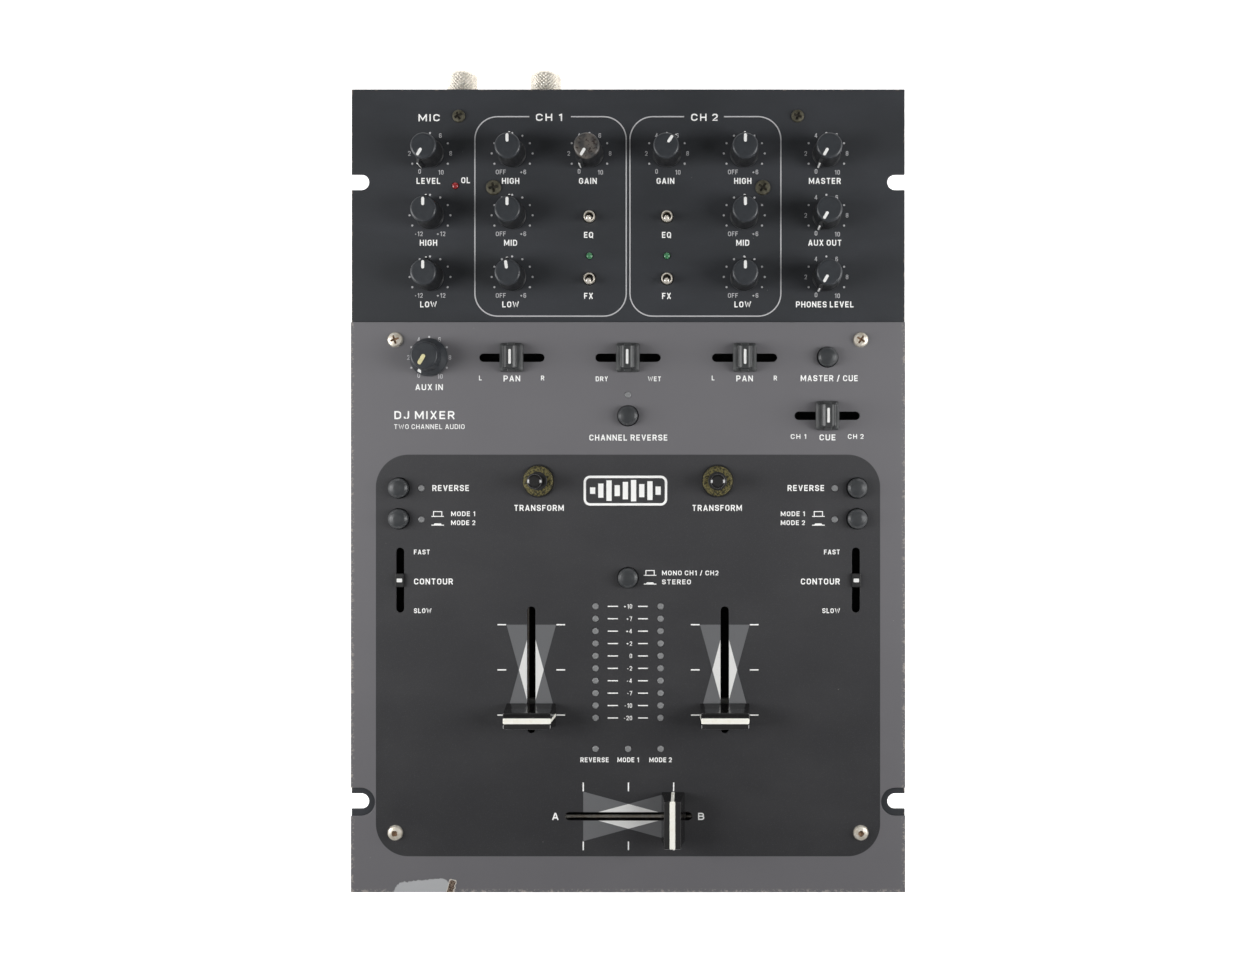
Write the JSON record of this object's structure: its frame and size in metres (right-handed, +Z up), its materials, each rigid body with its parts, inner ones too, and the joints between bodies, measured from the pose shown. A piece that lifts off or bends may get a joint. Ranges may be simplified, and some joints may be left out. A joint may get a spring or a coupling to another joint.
{
  "type": "dj mixer",
  "caption": "Battle-style DJ mixer: flat steel face with rotary knobs, slide faders, lever switches and a level meter, on a shallow box with rear jacks and rubber feet.",
  "frame": {"origin": "on the table under the middle of the whole outline, ground nuts included", "axes": "+X to the player's right, +Y to the rear with the jacks, +Z up out of the face"},
  "size_m": [0.254, 0.3848, 0.102],
  "materials": {
    "black_paint": "fine textured charcoal powder coat, worn at the edges",
    "grey_paint": "fine textured mid-grey paint with a printed dark field",
    "circuit_board": "glass-fibre board with solder mask",
    "bare_steel": "plated steel",
    "jack_plastic": "black moulded plastic",
    "brass_nut": "darkened olive brass, knurled",
    "foot_rubber": "matte black rubber",
    "zinc_screw": "plain zinc, slightly warm",
    "knob_plastic": "satin charcoal plastic with a white pointer",
    "button_plastic": "satin charcoal plastic, domed",
    "gloss_plastic": "polished black plastic",
    "bright_lever": "bright plated lever",
    "slider_plastic": "satin dark grey plastic with a white line",
    "nickel_nut": "nickel plate, diamond knurl"
  },
  "bodies": {
    "root": {"top_panel": "black_paint", "fader_plate": "grey_paint", "chassis_tub": "black_paint", "left_front_foot": "foot_rubber", "right_front_foot": "foot_rubber", "left_rear_foot": "foot_rubber", "right_rear_foot": "foot_rubber", "control_board": "circuit_board", "switch_board": "circuit_board", "ch1_fader_unit": "bare_steel", "ch2_fader_unit": "bare_steel", "crossfader_unit": "bare_steel", "rca_jack_block": "jack_plastic", "output_jack_block": "jack_plastic", "headphone_jack": "jack_plastic", "left_transform_nut": "brass_nut", "right_transform_nut": "brass_nut", "plate_screw_1": "zinc_screw", "plate_screw_2": "zinc_screw", "plate_screw_3": "zinc_screw", "plate_screw_4": "zinc_screw"},
    "mic_level_knob": {"mic_level_knob": "knob_plastic"},
    "mic_high_knob": {"mic_high_knob": "knob_plastic"},
    "mic_low_knob": {"mic_low_knob": "knob_plastic"},
    "ch1_high_knob": {"ch1_high_knob": "knob_plastic"},
    "ch1_mid_knob": {"ch1_mid_knob": "knob_plastic"},
    "ch1_low_knob": {"ch1_low_knob": "knob_plastic"},
    "ch1_gain_knob": {"ch1_gain_knob": "knob_plastic"},
    "ch2_gain_knob": {"ch2_gain_knob": "knob_plastic"},
    "ch2_high_knob": {"ch2_high_knob": "knob_plastic"},
    "ch2_mid_knob": {"ch2_mid_knob": "knob_plastic"},
    "ch2_low_knob": {"ch2_low_knob": "knob_plastic"},
    "master_knob": {"master_knob": "knob_plastic"},
    "aux_out_knob": {"aux_out_knob": "knob_plastic"},
    "phones_knob": {"phones_knob": "knob_plastic"},
    "aux_in_knob": {"aux_in_knob": "knob_plastic"},
    "ch1_eq_lever": {"ch1_eq_lever": "bright_lever"},
    "ch1_fx_lever": {"ch1_fx_lever": "bright_lever"},
    "ch2_eq_lever": {"ch2_eq_lever": "bright_lever"},
    "ch2_fx_lever": {"ch2_fx_lever": "bright_lever"},
    "ch1_pan_slider": {"ch1_pan_slider": "slider_plastic"},
    "dry_wet_slider": {"dry_wet_slider": "slider_plastic"},
    "ch2_pan_slider": {"ch2_pan_slider": "slider_plastic"},
    "cue_slider": {"cue_slider": "slider_plastic"},
    "cue_button": {"cue_button": "button_plastic"},
    "channel_reverse_button": {"channel_reverse_button": "button_plastic"},
    "left_reverse_button": {"left_reverse_button": "button_plastic"},
    "right_reverse_button": {"right_reverse_button": "button_plastic"},
    "left_mode_button": {"left_mode_button": "button_plastic"},
    "right_mode_button": {"right_mode_button": "button_plastic"},
    "stereo_button": {"stereo_button": "button_plastic"},
    "left_transform_lever": {"left_transform_lever": "gloss_plastic"},
    "left_contour_slider": {"left_contour_slider": "slider_plastic"},
    "right_transform_lever": {"right_transform_lever": "gloss_plastic"},
    "right_contour_slider": {"right_contour_slider": "slider_plastic"},
    "ch1_fader": {"ch1_fader": "gloss_plastic"},
    "ch2_fader": {"ch2_fader": "gloss_plastic"},
    "crossfader": {"crossfader": "gloss_plastic"},
    "ground_nut_1": {"ground_nut_1": "nickel_nut"},
    "ground_nut_2": {"ground_nut_2": "nickel_nut"}
  },
  "joints": [
    {"name": "mic_level_turn", "type": "hinge", "parent": "root", "child": "mic_level_knob", "pos_m": [-0.091, 0.14655, 0.084], "axis": [0, 0, 1], "range_deg": [-300, 0]},
    {"name": "mic_high_turn", "type": "hinge", "parent": "root", "child": "mic_high_knob", "pos_m": [-0.091, 0.11815, 0.084], "axis": [0, 0, 1], "range_deg": [-150, 150]},
    {"name": "mic_low_turn", "type": "hinge", "parent": "root", "child": "mic_low_knob", "pos_m": [-0.091, 0.08985, 0.084], "axis": [0, 0, 1], "range_deg": [-150, 150]},
    {"name": "ch1_high_turn", "type": "hinge", "parent": "root", "child": "ch1_high_knob", "pos_m": [-0.0533, 0.14655, 0.084], "axis": [0, 0, 1], "range_deg": [-150, 150]},
    {"name": "ch1_mid_turn", "type": "hinge", "parent": "root", "child": "ch1_mid_knob", "pos_m": [-0.0533, 0.11815, 0.084], "axis": [0, 0, 1], "range_deg": [-150, 150]},
    {"name": "ch1_low_turn", "type": "hinge", "parent": "root", "child": "ch1_low_knob", "pos_m": [-0.0533, 0.08985, 0.084], "axis": [0, 0, 1], "range_deg": [-158, 142]},
    {"name": "ch1_gain_turn", "type": "hinge", "parent": "root", "child": "ch1_gain_knob", "pos_m": [-0.0178, 0.14655, 0.084], "axis": [0, 0, 1], "range_deg": [-300, 0]},
    {"name": "ch2_gain_turn", "type": "hinge", "parent": "root", "child": "ch2_gain_knob", "pos_m": [0.0178, 0.14655, 0.084], "axis": [0, 0, 1], "range_deg": [-116, 184]},
    {"name": "ch2_high_turn", "type": "hinge", "parent": "root", "child": "ch2_high_knob", "pos_m": [0.0533, 0.14655, 0.084], "axis": [0, 0, 1], "range_deg": [-150, 150]},
    {"name": "ch2_mid_turn", "type": "hinge", "parent": "root", "child": "ch2_mid_knob", "pos_m": [0.0533, 0.11815, 0.084], "axis": [0, 0, 1], "range_deg": [-150, 150]},
    {"name": "ch2_low_turn", "type": "hinge", "parent": "root", "child": "ch2_low_knob", "pos_m": [0.0533, 0.08985, 0.084], "axis": [0, 0, 1], "range_deg": [-150, 150]},
    {"name": "master_turn", "type": "hinge", "parent": "root", "child": "master_knob", "pos_m": [0.091, 0.14655, 0.084], "axis": [0, 0, 1], "range_deg": [-300, 0]},
    {"name": "aux_out_turn", "type": "hinge", "parent": "root", "child": "aux_out_knob", "pos_m": [0.091, 0.11815, 0.084], "axis": [0, 0, 1], "range_deg": [-300, 0]},
    {"name": "phones_turn", "type": "hinge", "parent": "root", "child": "phones_knob", "pos_m": [0.091, 0.08985, 0.084], "axis": [0, 0, 1], "range_deg": [-300, 0]},
    {"name": "aux_in_turn", "type": "hinge", "parent": "root", "child": "aux_in_knob", "pos_m": [-0.0911, 0.05275, 0.0855], "axis": [0, 0, 1], "range_deg": [-300, 0]},
    {"name": "ch1_eq_flip", "type": "hinge", "parent": "root", "child": "ch1_eq_lever", "pos_m": [-0.0178, 0.11755, 0.0838], "axis": [1, 0, 0], "range_deg": [-32, 0]},
    {"name": "ch1_fx_flip", "type": "hinge", "parent": "root", "child": "ch1_fx_lever", "pos_m": [-0.0178, 0.08905, 0.0838], "axis": [1, 0, 0], "range_deg": [-32, 0]},
    {"name": "ch2_eq_flip", "type": "hinge", "parent": "root", "child": "ch2_eq_lever", "pos_m": [0.0178, 0.11755, 0.0838], "axis": [1, 0, 0], "range_deg": [-32, 0]},
    {"name": "ch2_fx_flip", "type": "hinge", "parent": "root", "child": "ch2_fx_lever", "pos_m": [0.0178, 0.08905, 0.0838], "axis": [1, 0, 0], "range_deg": [-32, 0]},
    {"name": "ch1_pan_slide", "type": "slide", "parent": "root", "child": "ch1_pan_slider", "axis": [1, 0, 0], "range_m": [-0.01, 0.01]},
    {"name": "dry_wet_slide", "type": "slide", "parent": "root", "child": "dry_wet_slider", "axis": [1, 0, 0], "range_m": [-0.01, 0.01]},
    {"name": "ch2_pan_slide", "type": "slide", "parent": "root", "child": "ch2_pan_slider", "axis": [1, 0, 0], "range_m": [-0.01, 0.01]},
    {"name": "cue_slide", "type": "slide", "parent": "root", "child": "cue_slider", "axis": [1, 0, 0], "range_m": [-0.01, 0.01]},
    {"name": "cue_press", "type": "slide", "parent": "root", "child": "cue_button", "axis": [0, 0, 1], "range_m": [-0.0022, 0], "stiffness_N_per_m": 400, "springref_m": 0.0005},
    {"name": "channel_reverse_press", "type": "slide", "parent": "root", "child": "channel_reverse_button", "axis": [0, 0, 1], "range_m": [-0.0022, 0], "stiffness_N_per_m": 400, "springref_m": 0.0005},
    {"name": "left_reverse_press", "type": "slide", "parent": "root", "child": "left_reverse_button", "axis": [0, 0, 1], "range_m": [-0.0022, 0], "stiffness_N_per_m": 400, "springref_m": 0.0005},
    {"name": "right_reverse_press", "type": "slide", "parent": "root", "child": "right_reverse_button", "axis": [0, 0, 1], "range_m": [-0.0022, 0], "stiffness_N_per_m": 400, "springref_m": 0.0005},
    {"name": "left_mode_press", "type": "slide", "parent": "root", "child": "left_mode_button", "axis": [0, 0, 1], "range_m": [-0.0022, 0], "stiffness_N_per_m": 400, "springref_m": 0.0005},
    {"name": "right_mode_press", "type": "slide", "parent": "root", "child": "right_mode_button", "axis": [0, 0, 1], "range_m": [-0.0022, 0], "stiffness_N_per_m": 400, "springref_m": 0.0005},
    {"name": "stereo_press", "type": "slide", "parent": "root", "child": "stereo_button", "axis": [0, 0, 1], "range_m": [-0.0022, 0], "stiffness_N_per_m": 400, "springref_m": 0.0005},
    {"name": "left_transform_flip", "type": "hinge", "parent": "root", "child": "left_transform_lever", "pos_m": [-0.041, -0.00385, 0.0857], "axis": [0, 1, 0], "range_deg": [-12, 12]},
    {"name": "left_contour_slide", "type": "slide", "parent": "root", "child": "left_contour_slider", "axis": [0, 1, 0], "range_m": [-0.01, 0.01]},
    {"name": "right_transform_flip", "type": "hinge", "parent": "root", "child": "right_transform_lever", "pos_m": [0.041, -0.00385, 0.0857], "axis": [0, 1, 0], "range_deg": [-12, 12]},
    {"name": "right_contour_slide", "type": "slide", "parent": "root", "child": "right_contour_slider", "axis": [0, 1, 0], "range_m": [-0.01, 0.01]},
    {"name": "ch1_fader_slide", "type": "slide", "parent": "root", "child": "ch1_fader", "axis": [0, 1, 0], "range_m": [-0.002, 0.043]},
    {"name": "ch2_fader_slide", "type": "slide", "parent": "root", "child": "ch2_fader", "axis": [0, 1, 0], "range_m": [-0.002, 0.043]},
    {"name": "crossfader_slide", "type": "slide", "parent": "root", "child": "crossfader", "axis": [1, 0, 0], "range_m": [-0.043, 0.002]},
    {"name": "ground_nut_1_turn", "type": "hinge", "parent": "root", "child": "ground_nut_1", "pos_m": [-0.0815, 0.17335, 0.054], "axis": [0, 1, 0], "continuous": true},
    {"name": "ground_nut_2_turn", "type": "hinge", "parent": "root", "child": "ground_nut_2", "pos_m": [-0.0413, 0.17335, 0.054], "axis": [0, 1, 0], "continuous": true}
  ]
}
